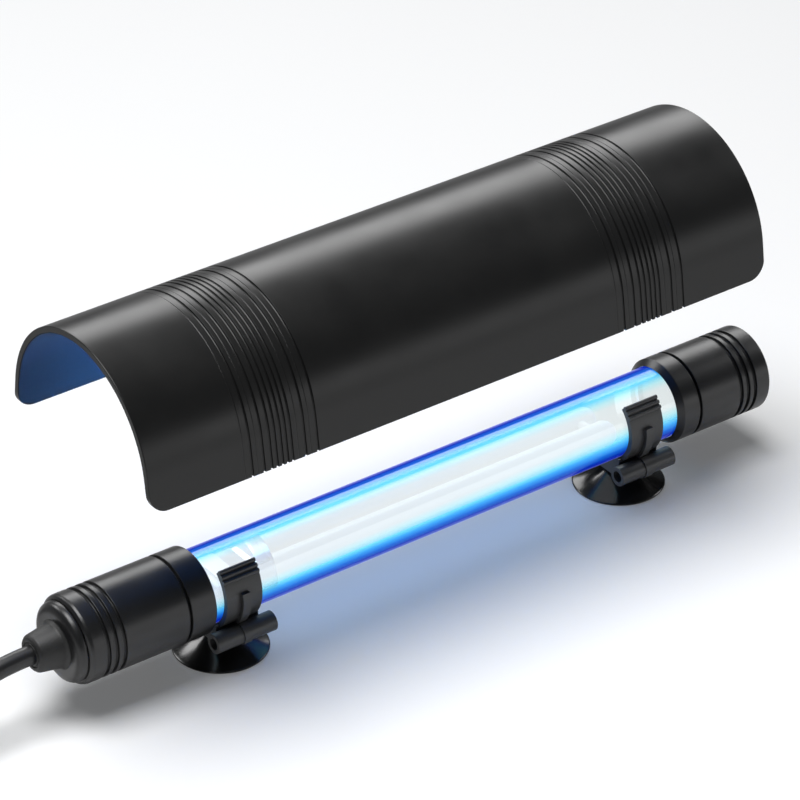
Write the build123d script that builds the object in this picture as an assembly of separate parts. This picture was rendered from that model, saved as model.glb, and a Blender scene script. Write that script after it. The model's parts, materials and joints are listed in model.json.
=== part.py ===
from build123d import *
import math
import os

# Submersible UV clarifier lamp with its lift-off light shield. Millimetres.
# X runs along the lamp, cable end at -X. Z is up. The origin is on the surface that the
# suction cups stand on, under the middle of the lamp.

# Driving dimensions of the lamp
AXIS_HEIGHT = 34.8
CAP_RADIUS = 20.0
HALF_LENGTH = 186.0
SLEEVE_RADIUS = 16.9
SLEEVE_WALL = 1.6
SEAT_CLEARANCE = 0.1
CAVITY_RADIUS = 16.0

# Screwed collars: a cap shoulder, a gap, then the collar
CABLE_SHOULDER_X = -132.4
BLIND_SHOULDER_X = 145.8
COLLAR_GAP = 1.5
CABLE_COLLAR_LENGTH = 12.5
CABLE_COLLAR_CHAMFER = 0.8
BLIND_COLLAR_LENGTH = 11.3
BLIND_COLLAR_CHAMFER = 2.6
COLLAR_LIP = 2.8
WASHER_THICKNESS = 1.2
SEAL_THICKNESS = 2.6
SPIGOT_RADIUS = 18.4
THREAD_CLEARANCE = 0.08
LIP_CLEARANCE = 0.4

# Grip grooves round each cap, counted from the cap's outer end
GROOVE_WIDTH = 1.9
GROOVE_DEPTH = 1.4
GROOVE_PITCH = 4.0
GROOVE_COUNT = 3
CABLE_GROOVE_START = 13.4
BLIND_GROOVE_START = 9.0

# Cable end: a rounded end plate that holds the strain relief
PLATE_RADIUS = 18.0
PLATE_PROUD = 4.6
PLATE_SPIGOT = 5.5
GLAND_NECK_RADIUS = 7.0
GLAND_BASE_RADIUS = 10.2
GLAND_TIP_RADIUS = 8.3
GLAND_PROUD = 12.5
GLAND_FLANGE_RADIUS = 9.5
GLAND_FLANGE = 4.0
BLIND_END_WALL = 5.0

# Glass sleeve and its seats
SLEEVE_CABLE_END_X = -144.5
SLEEVE_BLIND_END_X = 156.5
CUSHION_THICKNESS = 1.5

# Twin-tube lamp
TUBE_RADIUS = 6.0
TUBE_WALL = 1.0
TUBE_SPACING = 14.4
TUBE_START_X = -101.0
TUBE_END_X = 104.0
BRIDGE_RADIUS = 3.6
BRIDGE_SETBACK = 11.0
LAMP_BASE_START_X = -134.0
LAMP_BASE_WIDTH = 27.0
LAMP_BASE_THICKNESS = 13.0
PIN_RADIUS = 1.1
PIN_LENGTH = 6.0
PIN_ROW_SPACING = 8.0
SOCKET_START_X = -143.0
SPACER_X = -89.0
SPACER_LENGTH = 8.0

# Ballast
BOARD_X = (-169.0, -147.5)
BOARD_WIDTH = 28.0
BOARD_THICKNESS = 1.6
BOARD_DROP = 4.0
CHOKE_SIZE = (10.0, 11.0, 9.0)
CHOKE_PLACE = (-153.5, 5.0)
CHOKE_WINDOW = 4.0
WINDING_RADIUS = 3.2
CAPACITOR_RADIUS = 4.0
CAPACITOR_LENGTH = 10.0
CAPACITOR_PLACE = (-162.5, -6.0)
TRANSISTOR_SIZE = (3.4, 8.0, 7.0)
TRANSISTOR_PLACES = ((-156.0, -8.0), (-150.5, -8.0))
WIRE_RADIUS = 0.9
SUPPLY_WIRE_Y = 2.6
SOCKET_WIRE_Y = (-7.5, -2.5, 2.5, 7.5)

# Clips and suction cups
CABLE_CLIP_X = -104.3
BLIND_CLIP_X = 114.3
CLIP_CLEARANCE = 0.08
CLIP_BAND_OUTER = 19.3
CLIP_ARM_WIDTH = 18.0
NEAR_MOUTH_ANGLE = 47.0
FAR_MOUTH_ANGLE = 14.0
CRADLE_LENGTH = 21.6
CRADLE_WIDTH = 26.0
CRADLE_BOTTOM = 12.2
BASE_LENGTH = 30.0
COLLAR_RELIEF_RADIUS = 20.4
PLATE_TOP = 15.0
BARREL_RADIUS = 4.5
BARREL_BORE = 2.7
BARREL_DISTANCE = 24.9
BARREL_ANGLE = -46.5
RIB_WIDTH = 4.0
RIB_HEIGHT = 1.9
RIB_SETBACK = 37.0
LIP_RIDGE_RADIUS = 0.95
LIP_RIDGE_SETBACKS = (16.0, 9.0, 2.0)
CUP_RADIUS = 21.2
CUP_RIM = 1.6
STUD_RADIUS = 3.0
STUD_CLEARANCE = 0.06
STUD_HEAD_RADIUS = 4.8

# Light shield, held where it is lifted clear of the lamp
SHIELD_RADIUS = 49.8
SHIELD_WALL = 3.0
SHIELD_LENGTH = 320.4
SHIELD_MIDDLE_X = -9.5
SHIELD_FOOT_Z = 118.9
SHIELD_RISE = 8.5
SHIELD_SPLAY = 8.0
SHIELD_CORNER = 9.0
SHIELD_BAND_OFFSET = 96.4
SHIELD_BAND_LINES = (-14.6, -8.8, -5.1, -2.4, 0.3, 2.8, 5.3, 11.8, 17.8)
LINE_WIDTH = 1.1
LINE_DEPTH = 0.9

# Supply cord, its put-away coil and its plug
CORD_DIAMETER = 8.6
CORD_RADIUS = CORD_DIAMETER / 2
CORD_START = (-HALF_LENGTH - GLAND_PROUD, 0.0, AXIS_HEIGHT)
TIE_THICKNESS = 0.7
COIL_CENTRE = (-312.0, 38.0)
COIL_MEAN_RADIUS = 47.0
TIE_ANGLE = 20.0
TIE_WIDTH = 9.0
CORD_ROUTE = [
    CORD_START,
    (-221.0, 0.0, 34.8),
    (-243.0, -4.0, 26.5),
    (-266.0, -11.0, 14.0),
    (-290.0, -15.0, 7.0),
    (-312.0, -13.3, 5.0),
]
PLUG_ROUTE = [
    (-312.0, 89.3, 13.6),
    (-298.0, 89.3, 13.6),
    (-284.0, 88.4, 15.4),
    (-270.0, 86.4, 17.6),
    (-257.0, 86.4, 17.6),
]
PLUG_RADIUS = 17.6
PLUG_LENGTH = 45.0
PLUG_PIN_RADIUS = 2.4
PLUG_PIN_LENGTH = 19.0
PLUG_PIN_SPACING = 19.0
PLUG_SHANK_RADIUS = 2.0
PLUG_SHANK_LENGTH = 8.0


def ring(x_from, x_to, outer, inner=0.0):
    """A ring or disc on the lamp's axis, between two places along X."""
    length = abs(x_to - x_from)
    place = Pos((x_from + x_to) / 2, 0, AXIS_HEIGHT) * Rot(0, 90, 0)
    solid = Cylinder(outer, length)
    if inner > 0:
        solid -= Cylinder(inner, length + 1)
    return place * solid


def turned(points):
    """A solid turned about the lamp's axis from (x, radius) points."""
    face = Plane.XZ * make_face(Polyline(*points, close=True))
    return Pos(0, 0, AXIS_HEIGHT) * revolve(face, Axis.X)


def from_axis(angle, distance):
    """The (y, z) of a point round the lamp's axis; angle 0 faces -Y and 90 is up."""
    turn = math.radians(angle)
    return -distance * math.cos(turn), AXIS_HEIGHT + distance * math.sin(turn)


def block(size, centre):
    return Pos(*centre) * Box(*size)


def rod(start, end, radius):
    """A round rod between two points."""
    line = Line(start, end)
    return sweep(Plane(origin=start, z_dir=line % 0) * Circle(radius), path=line)


# --- Glass sleeve, seals and screwed collars -------------------------------------------


def quartz_sleeve():
    return ring(SLEEVE_CABLE_END_X, SLEEVE_BLIND_END_X, SLEEVE_RADIUS, SLEEVE_RADIUS - SLEEVE_WALL)


def cushion(x_from, direction):
    return ring(x_from, x_from + direction * CUSHION_THICKNESS, SLEEVE_RADIUS, CAVITY_RADIUS - 0.5)


def stack(shoulder_x, direction, collar_length):
    """Places along X of a joint's pieces: spigot end, seal end, washer end, collar end."""
    collar_end = COLLAR_GAP + collar_length
    washer_end = collar_end - COLLAR_LIP
    seal_end = washer_end - WASHER_THICKNESS
    spigot_end = seal_end - SEAL_THICKNESS
    return [shoulder_x + direction * d for d in (spigot_end, seal_end, washer_end, collar_end)]


def seal(shoulder_x, direction, collar_length):
    spigot_end, seal_end, _, _ = stack(shoulder_x, direction, collar_length)
    return ring(spigot_end, seal_end, SPIGOT_RADIUS - 0.1, SLEEVE_RADIUS)


def washer(shoulder_x, direction, collar_length):
    _, seal_end, washer_end, _ = stack(shoulder_x, direction, collar_length)
    return ring(seal_end, washer_end, SPIGOT_RADIUS - 0.1, SLEEVE_RADIUS + SEAT_CLEARANCE)


def collar(shoulder_x, direction, collar_length, chamfer_size):
    """A ring nut: threaded bore over the spigot, then a lip that clears the sleeve."""
    _, _, washer_end, collar_end = stack(shoulder_x, direction, collar_length)
    start = shoulder_x + direction * COLLAR_GAP
    bore = SPIGOT_RADIUS + THREAD_CLEARANCE
    lip_bore = SLEEVE_RADIUS + LIP_CLEARANCE
    edge = 0.4
    return turned([
        (start, bore),
        (start, CAP_RADIUS - edge),
        (start + direction * edge, CAP_RADIUS),
        (collar_end - direction * chamfer_size, CAP_RADIUS),
        (collar_end, CAP_RADIUS - chamfer_size),
        (collar_end, lip_bore),
        (washer_end, lip_bore),
        (washer_end, bore),
    ])


# --- Caps ------------------------------------------------------------------------------


def cut_grooves(solid, end_x, direction, first):
    """Cut the grip grooves, starting a distance in from the cap's outer end."""
    for i in range(GROOVE_COUNT):
        middle = end_x + direction * (first + i * GROOVE_PITCH)
        half = GROOVE_WIDTH / 2
        solid -= ring(middle - half, middle + half, CAP_RADIUS + 1, CAP_RADIUS - GROOVE_DEPTH)
    return solid


def cable_end_cap():
    spigot_end = stack(CABLE_SHOULDER_X, 1, CABLE_COLLAR_LENGTH)[0]
    seat = SLEEVE_CABLE_END_X - CUSHION_THICKNESS
    start = -HALF_LENGTH + PLATE_PROUD
    edge = 1.2
    cap = turned([
        (start, CAVITY_RADIUS),
        (start, CAP_RADIUS - edge),
        (start + 0.35 * edge, CAP_RADIUS - 0.35 * edge),
        (start + edge, CAP_RADIUS),
        (CABLE_SHOULDER_X - 0.4, CAP_RADIUS),
        (CABLE_SHOULDER_X, CAP_RADIUS - 0.4),
        (CABLE_SHOULDER_X, SPIGOT_RADIUS),
        (spigot_end, SPIGOT_RADIUS),
        (spigot_end, SLEEVE_RADIUS + SEAT_CLEARANCE),
        (seat, SLEEVE_RADIUS + SEAT_CLEARANCE),
        (seat, CAVITY_RADIUS),
    ])
    return cut_grooves(cap, -HALF_LENGTH, 1, CABLE_GROOVE_START)


def cable_end_plate():
    face = -HALF_LENGTH + PLATE_PROUD
    outside = ring(-HALF_LENGTH, face, PLATE_RADIUS)
    rim = outside.edges().filter_by(GeomType.CIRCLE).sort_by(Axis.X)[0]
    outside = fillet(rim, 3.6)
    inside = ring(face, face + PLATE_SPIGOT, CAVITY_RADIUS)
    hole = ring(-HALF_LENGTH - 1, face + PLATE_SPIGOT + 1, GLAND_NECK_RADIUS)
    return outside + inside - hole


def blind_end_cap():
    spigot_end = stack(BLIND_SHOULDER_X, -1, BLIND_COLLAR_LENGTH)[0]
    seat = SLEEVE_BLIND_END_X + CUSHION_THICKNESS
    edge = 0.9
    cap = turned([
        (HALF_LENGTH, 0),
        (HALF_LENGTH, CAP_RADIUS - edge),
        (HALF_LENGTH - edge, CAP_RADIUS),
        (BLIND_SHOULDER_X + 0.4, CAP_RADIUS),
        (BLIND_SHOULDER_X, CAP_RADIUS - 0.4),
        (BLIND_SHOULDER_X, SPIGOT_RADIUS),
        (spigot_end, SPIGOT_RADIUS),
        (spigot_end, SLEEVE_RADIUS + SEAT_CLEARANCE),
        (seat, SLEEVE_RADIUS + SEAT_CLEARANCE),
        (seat, CAVITY_RADIUS),
        (HALF_LENGTH - BLIND_END_WALL, CAVITY_RADIUS),
        (HALF_LENGTH - BLIND_END_WALL, 0),
    ])
    return cut_grooves(cap, HALF_LENGTH, -1, BLIND_GROOVE_START)


def strain_relief():
    """Moulded rubber nose: a cone outside, a neck through the plate, a flange inside."""
    tip = -HALF_LENGTH - GLAND_PROUD
    inner_face = -HALF_LENGTH + PLATE_PROUD + PLATE_SPIGOT
    edge = 1.4
    return turned([
        (tip, 0),
        (tip, GLAND_TIP_RADIUS - edge),
        (tip + 0.3 * edge, GLAND_TIP_RADIUS - 0.3 * edge),
        (tip + edge, GLAND_TIP_RADIUS + 0.1),
        (-HALF_LENGTH, GLAND_BASE_RADIUS),
        (-HALF_LENGTH, GLAND_NECK_RADIUS),
        (inner_face, GLAND_NECK_RADIUS),
        (inner_face, GLAND_FLANGE_RADIUS),
        (inner_face + GLAND_FLANGE, GLAND_FLANGE_RADIUS - 1.5),
        (inner_face + GLAND_FLANGE, 0),
    ])


# --- Lamp, socket and ballast ----------------------------------------------------------


def tube_pair(radius, inset):
    """Two round-ended rods side by side, joined by a bridge near their far ends."""
    length = TUBE_END_X - radius - inset - TUBE_START_X
    pair = None
    for side in (-1, 1):
        y = side * TUBE_SPACING / 2
        straight = Pos(TUBE_START_X + length / 2, y, AXIS_HEIGHT) * Rot(0, 90, 0)
        arm = straight * Cylinder(radius, length)
        arm += Pos(TUBE_START_X + length, y, AXIS_HEIGHT) * Sphere(radius)
        pair = arm if pair is None else pair + arm
    bridge = Pos(TUBE_END_X - BRIDGE_SETBACK, 0, AXIS_HEIGHT) * Rot(90, 0, 0)
    return pair + bridge * Cylinder(BRIDGE_RADIUS - inset, TUBE_SPACING)


def uv_tubes():
    return tube_pair(TUBE_RADIUS, 0) - tube_pair(TUBE_RADIUS - TUBE_WALL, TUBE_WALL)


def lamp_base():
    length = TUBE_START_X - LAMP_BASE_START_X
    centre = ((TUBE_START_X + LAMP_BASE_START_X) / 2, 0, AXIS_HEIGHT)
    body = block((length, LAMP_BASE_WIDTH, LAMP_BASE_THICKNESS), centre)
    body = fillet(body.edges().filter_by(Axis.X), 5.0)
    step_x = TUBE_START_X - length / 3
    waist = block((4.0, LAMP_BASE_WIDTH + 2, LAMP_BASE_THICKNESS + 2), (step_x, 0, AXIS_HEIGHT))
    waist -= block((6.0, LAMP_BASE_WIDTH - 2, LAMP_BASE_THICKNESS - 2), (step_x, 0, AXIS_HEIGHT))
    return body - waist


def pin_places():
    for y in (-PIN_ROW_SPACING / 2, PIN_ROW_SPACING / 2):
        for z in (-2.5, 2.5):
            yield y, AXIS_HEIGHT + z


def lamp_pins():
    middle = LAMP_BASE_START_X - PIN_LENGTH / 2
    pin = Rot(0, 90, 0) * Cylinder(PIN_RADIUS, PIN_LENGTH)
    return Compound(children=[Pos(middle, y, z) * pin for y, z in pin_places()])


def lamp_socket():
    """Round carrier that takes the lamp's four pins."""
    face = LAMP_BASE_START_X
    body = ring(SOCKET_START_X, face, SLEEVE_RADIUS - SLEEVE_WALL - 0.2)
    for y, z in pin_places():
        hole = Pos(face - PIN_LENGTH / 2, y, z) * Rot(0, 90, 0)
        body -= hole * Cylinder(PIN_RADIUS + 0.1, PIN_LENGTH + 0.2)
    for side in (-1, 1):
        body -= block((12, 10, 6), (face - 3, side * 15, AXIS_HEIGHT))
    return body


def lamp_spacer():
    """Clear ring that centres the lamp in the sleeve, with a window for the two tubes."""
    half = SPACER_LENGTH / 2
    body = ring(SPACER_X - half, SPACER_X + half, SLEEVE_RADIUS - SLEEVE_WALL - 0.1)
    width = TUBE_SPACING + 2 * TUBE_RADIUS + 0.6
    window = block((SPACER_LENGTH + 2, width, 2 * TUBE_RADIUS + 0.6), (SPACER_X, 0, AXIS_HEIGHT))
    window = fillet(window.edges().filter_by(Axis.X), TUBE_RADIUS)
    return body - window


def board_top():
    return AXIS_HEIGHT - BOARD_DROP + BOARD_THICKNESS / 2


def ballast_board():
    length = BOARD_X[1] - BOARD_X[0]
    centre = ((BOARD_X[0] + BOARD_X[1]) / 2, 0, AXIS_HEIGHT - BOARD_DROP)
    return block((length, BOARD_WIDTH, BOARD_THICKNESS), centre)


def ballast_choke():
    """A ferrite frame with its winding upright in the window."""
    centre = (*CHOKE_PLACE, board_top() + CHOKE_SIZE[2] / 2)
    core = block(CHOKE_SIZE, centre)
    window = block((CHOKE_WINDOW, CHOKE_SIZE[1] + 1, CHOKE_WINDOW), centre)
    winding = Pos(*centre) * Cylinder(WINDING_RADIUS, CHOKE_WINDOW)
    return core - window + winding


def ballast_capacitor():
    place = Pos(*CAPACITOR_PLACE, board_top() + CAPACITOR_RADIUS)
    return place * Rot(90, 0, 0) * Cylinder(CAPACITOR_RADIUS, CAPACITOR_LENGTH)


def ballast_transistors():
    z = board_top() + TRANSISTOR_SIZE[2] / 2
    return Compound(children=[block(TRANSISTOR_SIZE, (x, y, z)) for x, y in TRANSISTOR_PLACES])


def supply_wires():
    """Two cores from the strain relief's inner end, joined to the board's edge."""
    start_x = -HALF_LENGTH + PLATE_PROUD + PLATE_SPIGOT + GLAND_FLANGE
    z = board_top() + WIRE_RADIUS
    pieces = []
    for y in (-SUPPLY_WIRE_Y, SUPPLY_WIRE_Y):
        pieces.append(rod((start_x, y, z), (BOARD_X[0] + 2.0, y, z), WIRE_RADIUS))
    return Compound(children=pieces)


def socket_wires():
    """Four short cores from the board to the socket."""
    pieces = []
    for y in SOCKET_WIRE_Y:
        start = (BOARD_X[1], y, AXIS_HEIGHT - BOARD_DROP)
        end = (SOCKET_START_X, y, AXIS_HEIGHT - BOARD_DROP)
        pieces.append(rod(start, end, WIRE_RADIUS - 0.2))
    return Compound(children=pieces)


# --- Clips and suction cups ------------------------------------------------------------


def sector(inner, outer, width, from_angle, to_angle):
    """Part of a ring round the lamp's axis, centred on X = 0, between two angles."""
    reach = outer * 2
    ring_part = ring(-width / 2, width / 2, outer, inner)
    steps = 6
    turns = [from_angle + (to_angle - from_angle) * i / steps for i in range(steps + 1)]
    corners = [(0.0, AXIS_HEIGHT)] + [from_axis(turn, reach) for turn in turns]
    wedge = Plane.YZ * make_face(Polyline(*corners, close=True))
    return ring_part & extrude(wedge, width, both=True)


def clip(clip_x):
    """Spring clip in one moulding: a cradle, two arms with ridged lips, ribs and two bored barrels."""
    bore = SLEEVE_RADIUS + CLIP_CLEARANCE
    body = sector(bore, CLIP_BAND_OUTER, CRADLE_LENGTH, BARREL_ANGLE, -180 - BARREL_ANGLE)
    height = AXIS_HEIGHT - bore - CRADLE_BOTTOM + 4.0
    body += block((CRADLE_LENGTH, CRADLE_WIDTH, height), (0, 0, CRADLE_BOTTOM + height / 2))
    rib_outer = CLIP_BAND_OUTER + RIB_HEIGHT
    for side, mouth in ((1, NEAR_MOUTH_ANGLE), (-1, FAR_MOUTH_ANGLE)):
        half = sector(bore, CLIP_BAND_OUTER, CLIP_ARM_WIDTH, BARREL_ANGLE, mouth)
        rib_top = mouth - RIB_SETBACK
        half += sector(CLIP_BAND_OUTER - 0.2, rib_outer, RIB_WIDTH, BARREL_ANGLE, rib_top)
        for setback in LIP_RIDGE_SETBACKS:
            y, z = from_axis(mouth - setback, CLIP_BAND_OUTER + 0.1)
            half += Pos(0, y, z) * Rot(0, 90, 0) * Cylinder(LIP_RIDGE_RADIUS, CLIP_ARM_WIDTH)
        y, z = from_axis(BARREL_ANGLE, BARREL_DISTANCE)
        barrel = Pos(0, y, z) * Rot(0, 90, 0)
        half += barrel * Cylinder(BARREL_RADIUS, BASE_LENGTH)
        half += barrel * Cylinder(BARREL_RADIUS + 0.5, RIB_WIDTH)
        if side < 0:
            half = half.mirror(Plane.XZ)
        body += half
    for side in (-1, 1):
        y, z = from_axis(BARREL_ANGLE, BARREL_DISTANCE)
        body -= Pos(0, side * y, z) * Rot(0, 90, 0) * Cylinder(BARREL_BORE, BASE_LENGTH + 2)
        body -= ring(side * CRADLE_LENGTH / 2, side * BASE_LENGTH, COLLAR_RELIEF_RADIUS)
    body -= ring(-BASE_LENGTH, BASE_LENGTH, bore)
    body -= Pos(0, 0, CRADLE_BOTTOM) * Cylinder(STUD_RADIUS + STUD_CLEARANCE, 20)
    pocket = STUD_HEAD_RADIUS + 0.5
    body -= Pos(0, 0, PLATE_TOP) * Cylinder(pocket, 10, align=(Align.CENTER, Align.CENTER, Align.MIN))
    return Pos(clip_x, 0, 0) * body


def cup(clip_x):
    """Suction cup: thin rim, hollow underside, neck, and a mushroom stud in the clip's plate."""
    shoulder = CRADLE_BOTTOM - 0.1
    head_start = PLATE_TOP + 0.1
    head_top = 17.2
    outline = [
        Spline((0, 3.2), (12.0, 2.0), (CUP_RADIUS - CUP_RIM, 0), tangents=[(1, 0), (1, -0.35)]),
        Line((CUP_RADIUS - CUP_RIM, 0), (CUP_RADIUS, 0)),
        Line((CUP_RADIUS, 0), (CUP_RADIUS, 0.9)),
        ThreePointArc((CUP_RADIUS, 0.9), (14.5, 4.4), (7.6, 9.4)),
        Line((7.6, 9.4), (5.0, shoulder)),
        Line((5.0, shoulder), (STUD_RADIUS, shoulder)),
        Line((STUD_RADIUS, shoulder), (STUD_RADIUS, head_start)),
        Line((STUD_RADIUS, head_start), (STUD_HEAD_RADIUS, head_start)),
        Line((STUD_HEAD_RADIUS, head_start), (STUD_HEAD_RADIUS - 0.6, head_top)),
        Line((STUD_HEAD_RADIUS - 0.6, head_top), (0, head_top)),
        Line((0, head_top), (0, 3.2)),
    ]
    face = Plane.XZ * make_face(outline)
    return Pos(clip_x, 0, 0) * revolve(face, Axis.Z)


# --- Light shield ----------------------------------------------------------------------


def arch(radius, foot_z):
    """An arch-shaped face in the YZ plane: an arc on straight legs that splay outwards."""
    centre_z = SHIELD_FOOT_Z + SHIELD_RISE
    splay = math.radians(SHIELD_SPLAY)
    hip_y = radius * math.cos(splay)
    hip_z = centre_z + radius * math.sin(splay)
    foot_y = hip_y + (hip_z - foot_z) * math.tan(splay)
    outline = [
        Line((-foot_y, foot_z), (-hip_y, hip_z)),
        ThreePointArc((-hip_y, hip_z), (0, centre_z + radius), (hip_y, hip_z)),
        Line((hip_y, hip_z), (foot_y, foot_z)),
        Line((foot_y, foot_z), (-foot_y, foot_z)),
    ]
    return Plane.YZ * make_face(outline)


def light_shield():
    inner = SHIELD_RADIUS - SHIELD_WALL
    wall = extrude(arch(SHIELD_RADIUS, SHIELD_FOOT_Z), SHIELD_LENGTH)
    wall -= extrude(arch(inner, SHIELD_FOOT_Z - 1), SHIELD_LENGTH)
    wall = fillet(wall.edges().filter_by(Axis.Y), SHIELD_CORNER)
    skin = arch(SHIELD_RADIUS + 1, SHIELD_FOOT_Z - 1)
    skin -= arch(SHIELD_RADIUS - LINE_DEPTH, SHIELD_FOOT_Z - 2)
    for band_side in (-1, 1):
        for offset in SHIELD_BAND_LINES:
            x = SHIELD_LENGTH / 2 + band_side * SHIELD_BAND_OFFSET + offset - LINE_WIDTH / 2
            wall -= Pos(x, 0, 0) * extrude(skin, LINE_WIDTH)
    return Pos(SHIELD_MIDDLE_X - SHIELD_LENGTH / 2, 0, 0) * wall


# --- Supply cord and plug --------------------------------------------------------------


def cord_tube(name, points):
    """A tube of straight runs and tangent arcs through the route's points."""
    runs = [Vector(*b) - Vector(*a) for a, b in zip(points, points[1:])]
    radii = []
    for before, after in zip(runs, runs[1:]):
        half_turn = math.radians(before.get_angle(after)) / 2
        radii.append(0.45 * min(before.length, after.length) / math.tan(half_turn))
    path = FilletPolyline(*points, radius=radii)
    section = Plane(origin=points[0], z_dir=runs[0]) * Circle(CORD_RADIUS)
    tube = sweep(section, path=path)
    print(name, "radii", [round(r) for r in radii], "length", round(path.length, 1))
    print(name, "volume", round(tube.volume), "of", round(math.pi * CORD_RADIUS**2 * path.length))
    return tube


def coil_section(grow):
    """Section of the wound coil in the XZ plane, grown by a margin."""
    width = 2 * CORD_DIAMETER + 2 * grow
    middle_z = TIE_THICKNESS + CORD_DIAMETER
    face = Pos(COIL_MEAN_RADIUS, middle_z) * RectangleRounded(width, width, CORD_RADIUS + grow)
    return Plane.XZ * face


def cord_coil():
    return Pos(*COIL_CENTRE, 0) * revolve(coil_section(0), Axis.Z)


def cord_tie():
    sweep_angle = math.degrees(TIE_WIDTH / COIL_MEAN_RADIUS)
    face = coil_section(TIE_THICKNESS) - coil_section(0)
    return Pos(*COIL_CENTRE, 0) * Rot(0, 0, TIE_ANGLE) * revolve(face, Axis.Z, sweep_angle)


def plug_place():
    return Pos(*PLUG_ROUTE[-1])


def plug_body():
    """Round two-pole plug lying on its side, with a notch above and below and a tapered tail."""
    outline = [
        Line((0, 0), (0, 5.6)),
        Line((0, 5.6), (17, 7.4)),
        ThreePointArc((17, 7.4), (20.5, 11.0), (27, 15.6)),
        ThreePointArc((27, 15.6), (31, 17.0), (35, PLUG_RADIUS)),
        Line((35, PLUG_RADIUS), (PLUG_LENGTH - 1, PLUG_RADIUS)),
        Line((PLUG_LENGTH - 1, PLUG_RADIUS), (PLUG_LENGTH, PLUG_RADIUS - 1)),
        Line((PLUG_LENGTH, PLUG_RADIUS - 1), (PLUG_LENGTH, 0)),
        Line((PLUG_LENGTH, 0), (0, 0)),
    ]
    body = revolve(Plane.XZ * make_face(outline), Axis.X)
    for side in (-1, 1):
        notch = Pos(PLUG_LENGTH, 0, side * PLUG_RADIUS) * Rot(0, 90, 0)
        body -= notch * Cylinder(2.6, 24)
        hole = Pos(PLUG_LENGTH, side * PLUG_PIN_SPACING / 2, 0) * Rot(0, 90, 0)
        body -= hole * Cylinder(PLUG_SHANK_RADIUS, 2 * PLUG_SHANK_LENGTH)
    return plug_place() * body


def plug_pins():
    """Two round pins with rounded tips, each with a thinner shank inside the plug."""
    pieces = []
    base = (Align.CENTER, Align.CENTER, Align.MIN)
    for side in (-1, 1):
        face = Pos(PLUG_LENGTH, side * PLUG_PIN_SPACING / 2, 0) * Rot(0, 90, 0)
        pin = face * Cylinder(PLUG_PIN_RADIUS, PLUG_PIN_LENGTH, align=base)
        tip = pin.edges().filter_by(GeomType.CIRCLE).sort_by(Axis.X)[-1]
        pin = fillet(tip, 1.8)
        inner = face * Pos(0, 0, -PLUG_SHANK_LENGTH)
        pin += inner * Cylinder(PLUG_SHANK_RADIUS, PLUG_SHANK_LENGTH, align=base)
        pieces.append(plug_place() * pin)
    return Compound(children=pieces)


cable_joint = (CABLE_SHOULDER_X, 1, CABLE_COLLAR_LENGTH)
blind_joint = (BLIND_SHOULDER_X, -1, BLIND_COLLAR_LENGTH)

parts = {
    "quartz_sleeve": quartz_sleeve(),
    "cable_end_cushion": cushion(SLEEVE_CABLE_END_X, -1),
    "blind_end_cushion": cushion(SLEEVE_BLIND_END_X, 1),
    "cable_end_seal": seal(*cable_joint),
    "blind_end_seal": seal(*blind_joint),
    "cable_end_washer": washer(*cable_joint),
    "blind_end_washer": washer(*blind_joint),
    "cable_end_collar": collar(*cable_joint, CABLE_COLLAR_CHAMFER),
    "blind_end_collar": collar(*blind_joint, BLIND_COLLAR_CHAMFER),
    "cable_end_cap": cable_end_cap(),
    "cable_end_plate": cable_end_plate(),
    "blind_end_cap": blind_end_cap(),
    "strain_relief": strain_relief(),
    "uv_tubes": uv_tubes(),
    "lamp_base": lamp_base(),
    "lamp_pins": lamp_pins(),
    "lamp_socket": lamp_socket(),
    "lamp_spacer": lamp_spacer(),
    "ballast_board": ballast_board(),
    "ballast_choke": ballast_choke(),
    "ballast_capacitor": ballast_capacitor(),
    "ballast_transistors": ballast_transistors(),
    "supply_wires": supply_wires(),
    "socket_wires": socket_wires(),
    "cable_end_clip": clip(CABLE_CLIP_X),
    "blind_end_clip": clip(BLIND_CLIP_X),
    "cable_end_cup": cup(CABLE_CLIP_X),
    "blind_end_cup": cup(BLIND_CLIP_X),
    "light_shield": light_shield(),
    "supply_cord": cord_tube("supply_cord", CORD_ROUTE),
    "cord_coil": cord_coil(),
    "cord_tie": cord_tie(),
    "plug_cord": cord_tube("plug_cord", PLUG_ROUTE),
    "plug_body": plug_body(),
    "plug_pins": plug_pins(),
}

os.makedirs("parts", exist_ok=True)
for node, shape in parts.items():
    export_step(shape, f"parts/{node}.step")
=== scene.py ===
import json
import math

import bmesh
import bpy
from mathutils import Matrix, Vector

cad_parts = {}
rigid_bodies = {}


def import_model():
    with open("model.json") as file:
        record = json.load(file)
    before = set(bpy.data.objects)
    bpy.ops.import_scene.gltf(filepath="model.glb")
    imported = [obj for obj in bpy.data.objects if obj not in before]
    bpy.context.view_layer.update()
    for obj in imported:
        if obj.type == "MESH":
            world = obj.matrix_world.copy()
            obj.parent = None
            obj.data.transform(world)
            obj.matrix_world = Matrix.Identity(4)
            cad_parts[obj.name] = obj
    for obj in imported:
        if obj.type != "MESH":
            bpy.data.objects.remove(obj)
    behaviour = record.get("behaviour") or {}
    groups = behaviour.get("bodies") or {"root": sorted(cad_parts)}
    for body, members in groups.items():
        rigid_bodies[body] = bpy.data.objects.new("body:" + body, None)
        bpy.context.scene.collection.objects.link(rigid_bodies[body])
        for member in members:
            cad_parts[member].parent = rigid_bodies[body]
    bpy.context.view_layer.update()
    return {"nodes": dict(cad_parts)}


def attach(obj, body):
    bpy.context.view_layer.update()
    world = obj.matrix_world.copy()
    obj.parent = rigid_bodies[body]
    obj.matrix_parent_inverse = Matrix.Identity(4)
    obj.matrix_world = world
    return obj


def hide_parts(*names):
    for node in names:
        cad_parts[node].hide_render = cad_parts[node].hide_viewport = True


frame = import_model()
NODES = frame["nodes"]
SCENE = bpy.context.scene
MM = 0.001

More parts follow.
